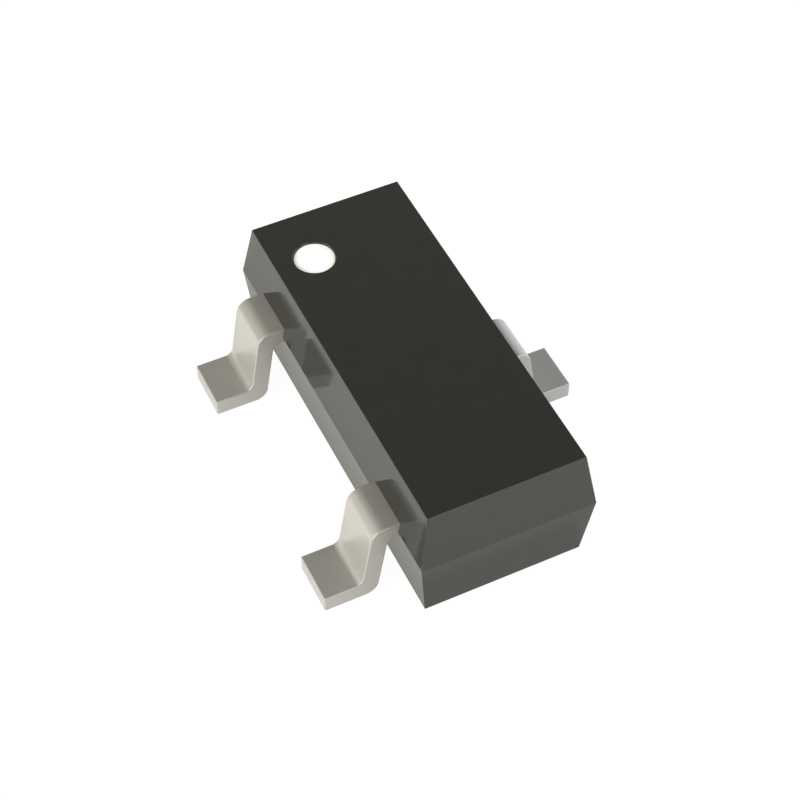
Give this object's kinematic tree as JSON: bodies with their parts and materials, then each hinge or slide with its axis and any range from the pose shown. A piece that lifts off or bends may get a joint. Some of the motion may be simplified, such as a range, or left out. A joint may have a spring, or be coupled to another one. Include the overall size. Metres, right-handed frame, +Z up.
{
  "type": "low-dropout voltage regulator",
  "caption": "Surface-mount voltage regulator: a dark moulded body with sloped sides, flat gull-wing leads from both long sides, and a white dot in a round recess near the first lead.",
  "frame": {"origin": "centre of the object's outline on the plane of the circuit board, which the feet of the leads rest on", "axes": "+X along the body from lead 1 to lead 2, +Y across the body towards lead 3, +Z up out of the board"},
  "size_m": [0.003, 0.0024, 0.001],
  "materials": {
    "mould_compound": "smooth dark moulded epoxy with a soft gloss",
    "tinned_lead": "satin tin plating",
    "silicon": "polished grey silicon",
    "die_adhesive": "dull grey filled adhesive",
    "bond_wire": "bright drawn gold-coloured wire",
    "white_ink": "flat white marking ink"
  },
  "bodies": {
    "root": {"mould_body": "mould_compound", "lead_1": "tinned_lead", "lead_2": "tinned_lead", "lead_3": "tinned_lead", "silicon_die": "silicon", "die_attach": "die_adhesive", "bond_wire_1": "bond_wire", "bond_wire_2": "bond_wire", "bond_wire_3": "bond_wire", "pin_1_dot": "white_ink"}
  },
  "joints": []
}
